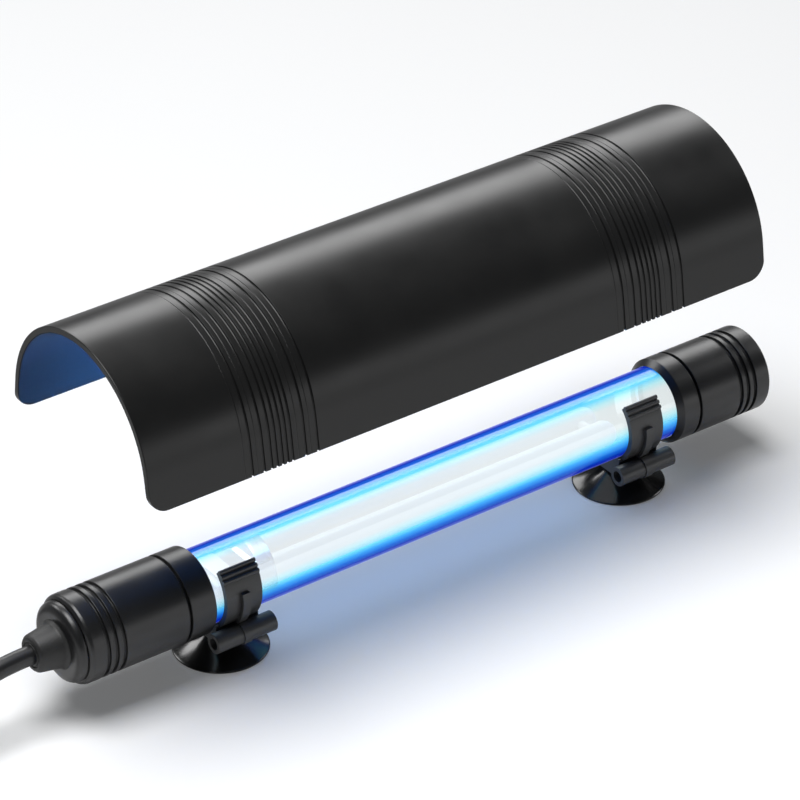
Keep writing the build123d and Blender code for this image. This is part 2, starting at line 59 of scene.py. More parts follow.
# Places and sizes of the lamp, in millimetres, as the CAD has them
AXIS_HEIGHT = 34.8
HALF_LENGTH = 186.0
CORD_DIAMETER = 8.6
RELIEF_TIP = -198.5
CABLE_CLIP_X = -104.3
BLIND_CLIP_X = 114.3


# --- Camera ----------------------------------------------------------------------------

CAMERA_PLACE = (-0.9395, -1.2590, 1.0620)
CAMERA_AZIMUTH = math.radians(-36.47)
CAMERA_ELEVATION = math.radians(31.87)
CAMERA_LENS = 193.6
SENSOR_WIDTH = 36.0


def make_camera():
    data = bpy.data.cameras.new("camera")
    data.lens = CAMERA_LENS
    data.sensor_width = SENSOR_WIDTH
    data.clip_start = 0.05
    data.clip_end = 60.0
    camera = bpy.data.objects.new("camera", data)
    SCENE.collection.objects.link(camera)
    back = Vector((
        math.sin(CAMERA_AZIMUTH) * math.cos(CAMERA_ELEVATION),
        -math.cos(CAMERA_AZIMUTH) * math.cos(CAMERA_ELEVATION),
        math.sin(CAMERA_ELEVATION),
    ))
    camera.location = CAMERA_PLACE
    camera.rotation_mode = "QUATERNION"
    camera.rotation_quaternion = (-back).to_track_quat("-Z", "Y")
    SCENE.camera = camera


# --- Node materials --------------------------------------------------------------------


class Shading:
    """One procedural material: a Principled shader and the textures that feed it."""

    def __init__(self, name):
        self.material = bpy.data.materials.new(name)
        self.material.use_nodes = True
        self.tree = self.material.node_tree
        self.shader = self.tree.nodes["Principled BSDF"]
        self.coordinates = self.node("ShaderNodeTexCoord").outputs["Object"]

    def node(self, kind, **settings):
        made = self.tree.nodes.new(kind)
        for key, value in settings.items():
            if key in made.inputs:
                made.inputs[key].default_value = value
            else:
                setattr(made, key, value)
        return made

    def link(self, output, socket):
        self.tree.links.new(output, socket)

    def set(self, **values):
        for key, value in values.items():
            self.shader.inputs[key.replace("_", " ")].default_value = value

    def stretched(self, scale):
        mapping = self.node("ShaderNodeMapping")
        mapping.inputs["Scale"].default_value = scale
        self.link(self.coordinates, mapping.inputs["Vector"])
        return mapping.outputs["Vector"]

    def noise(self, scale, detail=4.0, stretch=(1, 1, 1)):
        texture = self.node("ShaderNodeTexNoise", Scale=scale, Detail=detail)
        self.link(self.stretched(stretch), texture.inputs["Vector"])
        return texture.outputs["Fac"]

    def ramp(self, value, stops):
        made = self.node("ShaderNodeValToRGB")
        self.link(value, made.inputs["Fac"])
        elements = made.color_ramp.elements
        while len(elements) < len(stops):
            elements.new(0.5)
        for element, (place, colour) in zip(elements, stops):
            element.position = place
            element.color = (*colour, 1.0)
        return made.outputs["Color"]

    def span(self, value, low, high, from_low=0.3, from_high=0.7):
        made = self.node("ShaderNodeMapRange")
        self.link(value, made.inputs["Value"])
        ends = (("From Min", from_low), ("From Max", from_high), ("To Min", low), ("To Max", high))
        for key, number in ends:
            made.inputs[key].default_value = number
        return made.outputs["Result"]

    def mixed(self, one, two, share):
        made = self.node("ShaderNodeMix", data_type="FLOAT")
        made.inputs[0].default_value = share
        self.link(one, made.inputs[2])
        self.link(two, made.inputs[3])
        return made.outputs[0]

    def bump(self, height, strength, distance, onto=None):
        made = self.node("ShaderNodeBump")
        made.inputs["Strength"].default_value = strength
        made.inputs["Distance"].default_value = distance
        self.link(height, made.inputs["Height"])
        if onto is not None:
            self.link(onto, made.inputs["Normal"])
        return made.outputs["Normal"]


def moulded(name, dark, light, rough, grain=1600.0, bump=0.25, specular=0.5, peel=0.06):
    """Moulded plastic or rubber: uneven tone, uneven gloss and a fine moulded grain."""
    made = Shading(name)
    broad = made.noise(38.0, 5.0)
    fine = made.noise(grain, 3.0)
    tone = made.mixed(broad, fine, 0.35)
    made.link(made.ramp(tone, [(0.32, dark), (0.68, light)]), made.shader.inputs["Base Color"])
    gloss = made.span(made.mixed(broad, fine, 0.15), rough - 0.03, rough + 0.04)
    made.link(gloss, made.shader.inputs["Roughness"])
    orange_peel = made.bump(made.noise(420.0, 2.0), peel, 0.0004)
    normal = made.bump(fine, bump, 0.00008, orange_peel)
    made.link(normal, made.shader.inputs["Normal"])
    made.set(Specular_IOR_Level=specular)
    return made.material


def metal(name, dark, light, rough, brushing=(1, 1, 1)):
    """Plated or drawn metal, with fine brushing and slight tarnish."""
    made = Shading(name)
    lines = made.noise(2600.0, 3.0, brushing)
    patches = made.noise(120.0, 4.0)
    tone = made.mixed(patches, lines, 0.3)
    made.link(made.ramp(tone, [(0.3, dark), (0.7, light)]), made.shader.inputs["Base Color"])
    made.link(made.span(lines, rough - 0.06, rough + 0.08), made.shader.inputs["Roughness"])
    made.link(made.bump(lines, 0.15, 0.00004), made.shader.inputs["Normal"])
    made.set(Metallic=1.0)
    return made.material


def quartz():
    """Clear quartz with the lamp's glow painted on: colour and emission ramp by facing, pale in the
    middle, deep blue at the edges.
    """
    made = Shading("quartz")
    facing = made.node("ShaderNodeLayerWeight", Blend=0.5).outputs["Facing"]
    # Painted glow: base colour by facing, grey in the middle and deep blue at the edges.
    painted_glow_tint = made.ramp(facing, [
        (0.0, (0.58, 0.58, 0.58)),
        (0.20, (0.55, 0.60, 0.60)),
        (0.27, (0.42, 0.66, 0.68)),
        (0.34, (0.20, 0.70, 0.88)),
        (0.42, (0.04, 0.35, 0.70)),
        (0.54, (0.01, 0.10, 0.35)),
        (0.68, (0.005, 0.02, 0.20)),
        (0.86, (0.005, 0.02, 0.20)),
        (1.0, (0.2, 0.2, 0.4)),
    ])
    made.link(painted_glow_tint, made.shader.inputs["Base Color"])
    # Painted glow: the glass itself emits, white-grey in the middle and blue at the edges.
    glow = made.ramp(facing, [
        (0.0, (0.30, 0.29, 0.29)),
        (0.20, (0.27, 0.29, 0.29)),
        (0.27, (0.14, 0.28, 0.30)),
        (0.34, (0.02, 0.22, 0.30)),
        (0.42, (0.01, 0.19, 0.45)),
        (0.54, (0.002, 0.09, 0.48)),
        (0.68, (0.0, 0.02, 0.34)),
        (0.86, (0.0, 0.01, 0.36)),
        (1.0, (0.2, 0.2, 0.5)),
    ])
    made.link(glow, made.shader.inputs["Emission Color"])
    streaks = made.noise(260.0, 3.0, (0.04, 1, 1))
    made.link(made.bump(streaks, 0.03, 0.0002), made.shader.inputs["Normal"])
    made.link(made.span(streaks, 0.0, 0.03), made.shader.inputs["Roughness"])
    # Transmission falls off towards the edges, so the painted blue there shows opaque.
    clear = made.ramp(facing, [
        (0.0, (1.0, 1.0, 1.0)),
        (0.26, (0.95, 0.95, 0.95)),
        (0.42, (0.45, 0.45, 0.45)),
        (0.60, (0.08, 0.08, 0.08)),
        (1.0, (0.0, 0.0, 0.0)),
    ])
    made.link(clear, made.shader.inputs["Transmission Weight"])
    made.set(IOR=1.46, Emission_Strength=1.0, Specular_IOR_Level=0.2)
    return made.material


def lamp_glow():
    """The lit tubes: white to the eye, and cooler by the base."""
    made = Shading("lamp_glow")
    split = made.node("ShaderNodeSeparateXYZ")
    made.link(made.coordinates, split.inputs["Vector"])
    along = made.span(split.outputs["X"], 0.0, 1.0, -0.101, 0.104)
    wisps = made.noise(60.0, 4.0, (0.3, 1, 1))
    colour = made.ramp(made.mixed(along, wisps, 0.25), [
        (0.0, (0.36, 0.39, 0.42)),
        (0.2, (0.39, 0.40, 0.41)),
        (0.8, (0.40, 0.40, 0.40)),
        (1.0, (0.37, 0.39, 0.41)),
    ])
    made.link(colour, made.shader.inputs["Emission Color"])
    made.link(made.ramp(wisps, [(0.3, (0.20, 0.22, 0.24)), (0.7, (0.26, 0.28, 0.30))]),
              made.shader.inputs["Base Color"])
    made.set(Emission_Strength=1.0, Roughness=0.3)
    return made.material


def clear_plastic(name):
    """Slightly cloudy clear plastic."""
    made = Shading(name)
    cloud = made.noise(300.0, 3.0)
    made.link(made.ramp(cloud, [(0.3, (0.86, 0.93, 1.0)), (0.7, (0.97, 0.99, 1.0))]),
              made.shader.inputs["Base Color"])
    made.link(made.span(cloud, 0.04, 0.14), made.shader.inputs["Roughness"])
    made.set(Transmission_Weight=0.85, IOR=1.49)
    return made.material


def circuit_board():
    """Green solder mask with a faint pattern of tracks under it."""
    made = Shading("circuit_board")
    tracks = made.node("ShaderNodeTexBrick", Scale=260.0)
    made.link(made.coordinates, tracks.inputs["Vector"])
    tracks.inputs["Color1"].default_value = (0.008, 0.09, 0.03, 1)
    tracks.inputs["Color2"].default_value = (0.012, 0.13, 0.045, 1)
    tracks.inputs["Mortar"].default_value = (0.02, 0.2, 0.08, 1)
    made.link(tracks.outputs["Color"], made.shader.inputs["Base Color"])
    made.link(made.span(made.noise(500.0), 0.2, 0.35), made.shader.inputs["Roughness"])
    made.link(made.bump(tracks.outputs["Fac"], 0.2, 0.00005), made.shader.inputs["Normal"])
    return made.material


def tie_fabric():
    """Woven hook-and-loop tape."""
    made = Shading("tie_fabric")
    weave = made.node("ShaderNodeTexWave", Scale=900.0, Distortion=1.2)
    made.link(made.coordinates, weave.inputs["Vector"])
    fuzz = made.noise(2400.0, 4.0)
    tone = made.mixed(weave.outputs["Fac"], fuzz, 0.6)
    made.link(made.ramp(tone, [(0.2, (0.006, 0.006, 0.007)), (0.8, (0.03, 0.03, 0.033))]),
              made.shader.inputs["Base Color"])
    made.link(made.bump(tone, 0.6, 0.0002), made.shader.inputs["Normal"])
    made.set(Roughness=0.85, Sheen_Weight=0.3)
    return made.material


BLACK = (0.0065, 0.0065, 0.0070)
SOFT_BLACK = (0.0125, 0.0125, 0.0130)
MATERIALS = {
    "shield": moulded("shield_black", (0.0055, 0.0055, 0.0056), (0.0065, 0.0064, 0.0063), 0.31,
                      grain=900.0, bump=0.03, specular=0.36, peel=0.012),
    # Painted light: the shield's inside is a lighter, matt copy of its black, so the lamp's blue
    # shows on it.
    "shield_inside": moulded("shield_inside", (0.014, 0.014, 0.015), (0.021, 0.021, 0.022), 0.60,
                             grain=900.0, bump=0.1, specular=0.10),
    "cap": moulded("cap_black", BLACK, SOFT_BLACK, 0.33, grain=1500.0, bump=0.14),
    "clip": moulded("clip_black", (0.032, 0.032, 0.032), (0.052, 0.052, 0.052), 0.40, bump=0.18),
    "cup": moulded("cup_rubber", (0.005, 0.005, 0.005), (0.009, 0.009, 0.009), 0.17, bump=0.05),
    "relief": moulded("relief_rubber", (0.007, 0.007, 0.007), (0.017, 0.017, 0.017), 0.52,
                      grain=1300.0, bump=0.6),
    "cord": moulded("cord_rubber", (0.007, 0.007, 0.0075), (0.014, 0.014, 0.015), 0.36,
                    grain=1500.0, bump=0.2),
    "plug": moulded("plug_rubber", (0.008, 0.008, 0.008), (0.016, 0.016, 0.017), 0.45, bump=0.3),
    "seal": moulded("seal_rubber", (0.01, 0.01, 0.01), (0.03, 0.03, 0.03), 0.6, bump=0.4),
    "white": moulded("white_plastic", (0.74, 0.76, 0.77), (0.86, 0.87, 0.87), 0.34, bump=0.12),
    "ferrite": moulded("ferrite", (0.03, 0.03, 0.032), (0.07, 0.07, 0.07), 0.6, bump=0.5),
    "can": metal("capacitor_can", (0.02, 0.03, 0.12), (0.05, 0.06, 0.22), 0.3),
    "transistor": moulded("transistor_black", (0.012, 0.012, 0.012), (0.03, 0.03, 0.03), 0.5),
    "brass": metal("pin_brass", (0.55, 0.36, 0.12), (0.8, 0.58, 0.24), 0.26),
    "nickel": metal("pin_nickel", (0.55, 0.54, 0.51), (0.75, 0.74, 0.71), 0.2, (0.05, 1, 1)),
    "cores": moulded("wire_cores", (0.05, 0.02, 0.01), (0.12, 0.05, 0.02), 0.4, bump=0.1),
    "quartz": quartz(),
    "glow": lamp_glow(),
    "clear": clear_plastic("clear_ring"),
    "board": circuit_board(),
    "tie": tie_fabric(),
}


def dress(node, key):
    """Give a CAD node that stays its finished material."""
    owner = NODES[node]
    if not owner.material_slots:
        owner.data.materials.append(MATERIALS[key])
    for slot in owner.material_slots:
        slot.material = MATERIALS[key]


# --- Mesh helpers ----------------------------------------------------------------------

ARC_STEPS = 4


def rounded(points, radius, closed):
    """An outline with each of its corners turned into a small arc."""
    result = []
    for i, corner in enumerate(points):
        if not closed and i in (0, len(points) - 1):
            result.append(Vector(corner))
            continue
        corner = Vector(corner)
        back = Vector(points[i - 1]) - corner
        on = Vector(points[(i + 1) % len(points)]) - corner
        reach = min(radius, 0.45 * back.length, 0.45 * on.length)
        start = corner + back.normalized() * reach
        end = corner + on.normalized() * reach
        for step in range(ARC_STEPS + 1):
            t = step / ARC_STEPS
            result.append(start * (1 - t) ** 2 + corner * (2 * t * (1 - t)) + end * t ** 2)
    return result


def curve_between(start, pull, end, steps=12):
    """Points on a smooth bow from start to end, without its last point."""
    start, pull, end = Vector(start), Vector(pull), Vector(end)
    shares = [i / steps for i in range(steps)]
    return [start * (1 - t) ** 2 + pull * (2 * t * (1 - t)) + end * t ** 2 for t in shares]


def about_lamp(along, radius, turn):
    """A point at an angle round the lamp's axis."""
    y = radius * math.cos(turn)
    z = AXIS_HEIGHT + radius * math.sin(turn)
    return Vector((along, y, z)) * MM


def about_stud(clip_x):
    """Points at an angle round a suction cup's upright axis."""
    def place(height, radius, turn):
        return Vector((clip_x + radius * math.cos(turn), radius * math.sin(turn), height)) * MM
    return place


def finished(name, mesh_builder, material, body, slot, replaced):
    """Turn a bmesh into a smooth-shaded piece that rides on a body in place of CAD nodes."""
    bmesh.ops.recalc_face_normals(mesh_builder, faces=mesh_builder.faces)
    mesh = bpy.data.meshes.new(name)
    mesh_builder.to_mesh(mesh)
    mesh_builder.free()
    mesh.shade_smooth()
    mesh.materials.append(material)
    piece = bpy.data.objects.new(name, mesh)
    SCENE.collection.objects.link(piece)
    normals = piece.modifiers.new("even_normals", "WEIGHTED_NORMAL")
    normals.keep_sharp = False
    normals.weight = 80
    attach(piece, body)
    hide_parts(*replaced)
    return piece


def turned(name, outline, closed, place, look, segments=160):
    """A bmesh turned from an outline of (along, radius) points; look is what finished() takes."""
    builder = bmesh.new()
    rings = []
    for along, radius in outline:
        if radius < 1e-6:
            rings.append([builder.verts.new(place(along, 0.0, 0.0))])
            continue
        turns = [2 * math.pi * i / segments for i in range(segments)]
        rings.append([builder.verts.new(place(along, radius, turn)) for turn in turns])
    pairs = list(zip(rings, rings[1:]))
    if closed:
        pairs.append((rings[-1], rings[0]))
    for one, two in pairs:
        for i in range(segments):
            j = (i + 1) % segments
            corners = [one[i % len(one)], one[j % len(one)], two[j % len(two)], two[i % len(two)]]
            unique = list(dict.fromkeys(corners))
            if len(unique) > 2:
                builder.faces.new(unique)
    return finished(name, builder, *look)


# --- Supply cord -----------------------------------------------------------------------

CORD_ROUTE = [
    (RELIEF_TIP, 0.0, AXIS_HEIGHT),
    (-221.0, 0.0, AXIS_HEIGHT),
    (-243.0, -4.0, 26.5),
    (-266.0, -11.0, 14.0),
    (-290.0, -15.0, 7.0),
    (-312.0, -13.3, 5.0),
]
PLUG_ROUTE = [
    (-312.0, 89.3, 13.6),
    (-298.0, 89.3, 13.6),
    (-284.0, 88.4, 15.4),
    (-270.0, 86.4, 17.6),
    (-257.0, 86.4, 17.6),
]
COIL_CENTRE = (-312.0, 38.0)
COIL_TURNS = 4.5
POINTS_PER_TURN = 24
MIDDLE = 42.7
OUTER = MIDDLE + CORD_DIAMETER
INNER = MIDDLE - CORD_DIAMETER
LOW = 5.0
HIGH = LOW + CORD_DIAMETER
CLIMB_STEPS = 4


def climb(step):
    """Radius and height, to the hundredth, as the innermost turn rolls up over the one beside it."""
    turn = math.pi / 2 * step / CLIMB_STEPS
    inward, upward = CORD_DIAMETER * math.cos(turn), CORD_DIAMETER * math.sin(turn)
    return MIDDLE - round(inward, 2), LOW + round(upward, 2)


# Turns wound so far, radius and height: in along the low layer, up, and out along the high one
COIL_LAY = [
    (0.0, OUTER, LOW),
    (20 / POINTS_PER_TURN, OUTER, LOW),
    (23 / POINTS_PER_TURN, MIDDLE, LOW),
    (44 / POINTS_PER_TURN, MIDDLE, LOW),
    (47 / POINTS_PER_TURN, INNER, LOW),
    *[((60 + step) / POINTS_PER_TURN, *climb(step)) for step in range(CLIMB_STEPS + 1)],
    (84 / POINTS_PER_TURN, MIDDLE, HIGH),
    (88 / POINTS_PER_TURN, OUTER, HIGH),
    (COIL_TURNS, OUTER, HIGH),
]


def coil_point(wound):
    """Where the cord lies after so many turns, clockwise seen from above."""
    for (t0, r0, z0), (t1, r1, z1) in zip(COIL_LAY, COIL_LAY[1:]):
        if t0 <= wound <= t1:
            share = (wound - t0) / (t1 - t0)
            radius = r0 + (r1 - r0) * share
            height = z0 + (z1 - z0) * share
    turn = -math.pi / 2 - 2 * math.pi * wound
    x = COIL_CENTRE[0] + radius * math.cos(turn)
    y = COIL_CENTRE[1] + radius * math.sin(turn)
    return x, y, height


def make_cord():
    """The whole cord as one smooth curve: out of the lamp, round its coil and into the plug."""
    steps = round(COIL_TURNS * POINTS_PER_TURN)
    coil = [coil_point(i / POINTS_PER_TURN) for i in range(1, steps)]
    points = CORD_ROUTE + coil + PLUG_ROUTE
    curve = bpy.data.curves.new("mains_cord", "CURVE")
    curve.dimensions = "3D"
    spline = curve.splines.new("NURBS")
    spline.points.add(len(points) - 1)
    for control, (x, y, z) in zip(spline.points, points):
        control.co = (x * MM, y * MM, z * MM, 1.0)
    spline.order_u = 3
    spline.use_endpoint_u = True
    spline.resolution_u = 6
    curve.bevel_depth = CORD_DIAMETER / 2 * MM
    curve.bevel_resolution = 7
    curve.use_fill_caps = True
    curve.materials.append(MATERIALS["cord"])
    piece = bpy.data.objects.new("mains_cord", curve)
    SCENE.collection.objects.link(piece)
    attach(piece, "lamp")
    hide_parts("supply_cord", "cord_coil", "plug_cord")
    return piece


# --- Caps, collars and strain relief ---------------------------------------------------

CAP_RADIUS = 20.0
SPIGOT_RADIUS = 18.4
THREAD_CLEARANCE = 0.08
LIP_BORE = 17.3
COLLAR_LIP = 2.8
SEAT_RADIUS = 17.0
CAVITY_RADIUS = 16.0
GROOVE_WIDTH = 1.9
GROOVE_DEPTH = 1.4
GROOVE_PITCH = 4.0
EDGE_ROUND = 0.3
# The end plate's joint with the cap, its inner face, and the hole its strain relief fills
PLATE_SEAT = -181.4
PLATE_BACK = -175.9
GLAND_RADIUS = 7.0


def grooves(first, direction):
    """Outline points of three grip grooves along a cap."""
    points = []
    for i in range(3):
        middle = first + direction * i * GROOVE_PITCH
        near = middle - direction * GROOVE_WIDTH / 2
        far = middle + direction * GROOVE_WIDTH / 2
        bottom = CAP_RADIUS - GROOVE_DEPTH
        points += [(near, CAP_RADIUS), (near, bottom), (far, bottom), (far, CAP_RADIUS)]
    return points


def cap_look(node, body="lamp"):
    return MATERIALS["cap"], body, "cap_black", [node]


def make_cable_cap():
    outline = [
        (PLATE_SEAT, CAVITY_RADIUS), (PLATE_SEAT, 18.5), (-180.6, 19.6), (-179.4, CAP_RADIUS),
        *grooves(-172.6, 1),
        (-132.4, CAP_RADIUS), (-132.4, SPIGOT_RADIUS), (-125.0, SPIGOT_RADIUS),
        (-125.0, SEAT_RADIUS), (-146.0, SEAT_RADIUS), (-146.0, CAVITY_RADIUS),
    ]
    turned("cable_cap_shell", rounded(outline, EDGE_ROUND, True), True, about_lamp,
           cap_look("cable_end_cap"))


def make_blind_cap():
    outline = [
        (HALF_LENGTH, 0.0), (HALF_LENGTH, CAP_RADIUS - 0.9), (HALF_LENGTH - 0.9, CAP_RADIUS),
        *grooves(177.0, -1),
        (145.8, CAP_RADIUS), (145.8, SPIGOT_RADIUS), (139.6, SPIGOT_RADIUS),
        (139.6, SEAT_RADIUS), (158.0, SEAT_RADIUS), (158.0, CAVITY_RADIUS),
        (181.0, CAVITY_RADIUS), (181.0, 0.0),
    ]
    turned("blind_cap_shell", rounded(outline, EDGE_ROUND, False), False, about_lamp,
           cap_look("blind_end_cap"))


def make_collar(name, node, body, start, end, chamfer):
    """Screwed ring with a thin lip towards the glass."""
    inward = 1 if end > start else -1
    bore = SPIGOT_RADIUS + THREAD_CLEARANCE
    lip = end - inward * COLLAR_LIP
    outline = [
        (start, bore), (start, CAP_RADIUS), (end - inward * chamfer, CAP_RADIUS),
        (end, CAP_RADIUS - chamfer), (end, LIP_BORE), (lip, LIP_BORE), (lip, bore),
    ]
    turned(name, rounded(outline, 0.32, True), True, about_lamp, cap_look(node, body=body))


def make_end_plate():
    outline = [
        Vector((PLATE_BACK, GLAND_RADIUS)), Vector((0.4 - HALF_LENGTH, GLAND_RADIUS)),
        Vector((-HALF_LENGTH, 7.4)), Vector((-HALF_LENGTH, 13.0)),
        *curve_between((-HALF_LENGTH, 13.6), (-HALF_LENGTH, 18.0), (-182.0, 18.0), 14),
        Vector((-182.0, 18.0)), Vector((PLATE_SEAT, 17.9)),
        Vector((PLATE_SEAT, CAVITY_RADIUS)), Vector((PLATE_BACK, CAVITY_RADIUS)),
    ]
    turned("cable_plate_shell", outline, True, about_lamp, cap_look("cable_end_plate"))


def make_strain_relief():
    outline = [
        (RELIEF_TIP, 0.0), (RELIEF_TIP, 4.9), (-198.0, 5.1), (-198.0, 5.6), (RELIEF_TIP, 5.9),
        (RELIEF_TIP, 7.2), (-197.2, 8.4), (-187.4, 10.0), (-186.2, 10.9), (-HALF_LENGTH, 11.3),
        (-HALF_LENGTH, GLAND_RADIUS), (PLATE_BACK, GLAND_RADIUS), (PLATE_BACK, 9.5),
        (-171.9, 8.0), (-171.9, 0.0),
    ]
    look = (MATERIALS["relief"], "lamp", "relief_rubber", ["strain_relief"])
    return turned("relief_nose", rounded(outline, 0.5, False), False, about_lamp, look, 112)


# --- Glass sleeve ----------------------------------------------------------------------

SLEEVE_ENDS = (-144.5, 156.5)
SLEEVE_RADIUS = 16.9
SLEEVE_BORE = 15.3


def make_sleeve():
    low, high = SLEEVE_ENDS
    outline = [
        (low, SLEEVE_BORE), (low, SLEEVE_RADIUS), (high, SLEEVE_RADIUS), (high, SLEEVE_BORE),
    ]
    look = (MATERIALS["quartz"], "lamp", "quartz", ["quartz_sleeve"])
    sleeve = turned("sleeve_glass", rounded(outline, 0.6, True), True, about_lamp, look)
    sleeve.visible_shadow = False


# --- Suction cups ----------------------------------------------------------------------


def make_cup(name, node, body, clip_x):
    """Suction cup: (height, radius) from its hollow underside over the rim and up to the stud."""
    outline = [
        Vector((3.2, 0.0)),
        *curve_between((3.2, 2.0), (2.4, 13.0), (0.0, 19.6)),
        Vector((0.0, 20.4)), Vector((0.1, 20.9)), Vector((0.35, 21.15)), Vector((0.7, 21.15)),
        Vector((0.95, 20.9)),
        *curve_between((1.1, 20.6), (3.4, 14.8), (8.6, 8.2), 16),
        *curve_between((8.6, 8.2), (9.6, 7.0), (10.3, 5.4), 4),
        Vector((10.5, 5.0)), Vector((12.1, 5.0)), Vector((12.1, 3.0)), Vector((15.1, 3.0)),
        Vector((15.1, 4.8)), Vector((17.2, 4.2)), Vector((17.2, 0.0)),
    ]
    look = (MATERIALS["cup"], body, "cup_rubber", [node])
    turned(name, outline, False, about_stud(clip_x), look, 128)


# --- Light shield ----------------------------------------------------------------------

SHIELD_OUTER = 49.8
SHIELD_INNER = 46.8
SHIELD_FOOT = 118.9
SHIELD_CENTRE = 127.4
SHIELD_SPLAY = math.radians(8.0)
SHIELD_ENDS = (-169.7, 150.7)
SHIELD_CORNER = 8.5
SHIELD_EDGE = 0.38
SHIELD_MIDDLE = -9.5
BAND_OFFSET = 96.4
BAND_LINES = (-14.6, -8.8, -5.1, -2.4, 0.3, 2.8, 5.3, 11.8, 17.8)
HAIRLINES = (-18.1, -11.9, 8.3, 14.4)
LINE_SECTION = [
    (-0.66, 0.0), (-0.59, 0.05), (-0.54, 0.25), (-0.50, 0.9),
    (0.50, 0.9), (0.54, 0.25), (0.59, 0.05), (0.66, 0.0),
]
HAIRLINE_SECTION = [(-0.26, 0.0), (-0.18, 0.05), (0.0, 0.2), (0.18, 0.05), (0.26, 0.0)]
ARCH_STEPS = 112
LEG_STEPS = 3
EDGE_STEPS = 3
CORNER_STEPS = 10
PLAIN_STATIONS = (-140, -60, -40, -20, 0, 20, 40, 122, 134)


def shield_stations():
    """Places along the shield: x, how deep the outside is cut, and how far its edges pull in."""
    low, high = SHIELD_ENDS
    places = []
    for i in range(EDGE_STEPS):
        turn = math.pi / 2 * i / EDGE_STEPS
        pull = SHIELD_EDGE * (1 - math.sin(turn))
        step = SHIELD_EDGE * (1 - math.cos(turn))
        places += [(low + step, pull, pull), (high - step, pull, pull)]
    for i in range(1, CORNER_STEPS + 1):
        turn = math.pi / 2 * i / CORNER_STEPS
        step = SHIELD_EDGE + (SHIELD_CORNER - SHIELD_EDGE) * (1 - math.cos(turn))
        places += [(low + step, 0.0, 0.0), (high - step, 0.0, 0.0)]
    places += [(low + SHIELD_EDGE, 0.0, 0.0), (high - SHIELD_EDGE, 0.0, 0.0)]
    for side in (-1, 1):
        for lines, section in ((BAND_LINES, LINE_SECTION), (HAIRLINES, HAIRLINE_SECTION)):
            for line in lines:
                middle = SHIELD_MIDDLE + side * BAND_OFFSET + line
                places += [(middle + dx, depth, 0.0) for dx, depth in section]
    places += [(x, 0.0, 0.0) for x in PLAIN_STATIONS]
    return sorted(places)


def shield_foot(x):
    """Height of the shield's edge, which rises round each corner."""
    from_end = min(x - SHIELD_ENDS[0], SHIELD_ENDS[1] - x)
    if from_end >= SHIELD_CORNER:
        return SHIELD_FOOT
    across = SHIELD_CORNER - from_end
    return SHIELD_FOOT + SHIELD_CORNER - math.sqrt(SHIELD_CORNER ** 2 - across ** 2)


def leg_width(radius, height):
    """Half the width of the arch at a height on its splayed legs."""
    hip = SHIELD_CENTRE + radius * math.sin(SHIELD_SPLAY)
    return radius * math.cos(SHIELD_SPLAY) + (hip - height) * math.tan(SHIELD_SPLAY)


def arch_side(radius, foot):
    """One surface of the arch from its near edge over the top to its far edge."""
    hip = SHIELD_CENTRE + radius * math.sin(SHIELD_SPLAY)
    rise = [foot + (hip - foot) * i / LEG_STEPS for i in range(LEG_STEPS)]
    near = [(-leg_width(radius, z), z) for z in rise]
    arc = []
    for i in range(ARCH_STEPS + 1):
        turn = math.pi - SHIELD_SPLAY - (math.pi - 2 * SHIELD_SPLAY) * i / ARCH_STEPS
        arc.append((radius * math.cos(turn), SHIELD_CENTRE + radius * math.sin(turn)))
    far = [(leg_width(radius, z), z) for z in reversed(rise)]
    return near + arc + far


def edge_turn(radius_from, radius_to, foot, sign):
    """Small round from one surface down to the shield's edge."""
    points = []
    inward = 1 if radius_to > radius_from else -1
    start = leg_width(radius_from, foot + SHIELD_EDGE)
    for i in range(1, EDGE_STEPS + 1):
        turn = math.pi / 2 * i / EDGE_STEPS
        y = start + inward * SHIELD_EDGE * (1 - math.cos(turn))
        points.append((sign * y, foot + SHIELD_EDGE * (1 - math.sin(turn))))
    return points


def shield_loop(x, cut, pull):
    """The closed section at x: outer side, far edge, inner side, near edge."""
    foot = shield_foot(x) + pull
    outer, inner = SHIELD_OUTER - cut, SHIELD_INNER + pull
    out = arch_side(outer, foot + SHIELD_EDGE)
    back = arch_side(inner, foot + SHIELD_EDGE)[::-1]
    far = edge_turn(outer, inner, foot, 1) + edge_turn(inner, outer, foot, 1)[::-1]
    near = edge_turn(inner, outer, foot, -1) + edge_turn(outer, inner, foot, -1)[::-1]
    return out + far + back + near


def make_shield():
    """Half-round shell skinned over its closed sections, with a lighter, matt copy of its black on
    the inside: painted light, so the lamp's blue shows there.
    """
    builder = bmesh.new()
    loops = []
    for x, cut, pull in shield_stations():
        section = shield_loop(x, cut, pull)
        loops.append([builder.verts.new(Vector((x, y, z)) * MM) for y, z in section])
    count = len(loops[0])
    side = ARCH_STEPS + 1 + 2 * LEG_STEPS
    inner_start = side + 2 * EDGE_STEPS
    for one, two in zip(loops, loops[1:]):
        for i in range(count):
            j = (i + 1) % count
            face = builder.faces.new((one[i], one[j], two[j], two[i]))
            face.material_index = int(inner_start <= i < inner_start + side - 1)
    for loop in (loops[0], loops[-1]):
        half = count // 2
        outside = [loop[(k - EDGE_STEPS) % count] for k in range(half)]
        inside = [loop[(side + 3 * EDGE_STEPS + side - 1 - k) % count] for k in range(half)]
        for k in range(half - 1):
            corners = (outside[k], outside[k + 1], inside[k + 1], inside[k])
            builder.faces.new(corners)
    look = (MATERIALS["shield"], "shield", "shield_black", ["light_shield"])
    shell = finished("shield_shell", builder, *look)
    shell.data.materials.append(MATERIALS["shield_inside"])


# --- Studio ----------------------------------------------------------------------------

FLOOR_RADIUS = 2.6
# The glow strips: how far from the lamp's axis, and their size in metres
GLOW_OFFSET = 18.0
GLOW_SIZE = (0.205, 0.014)


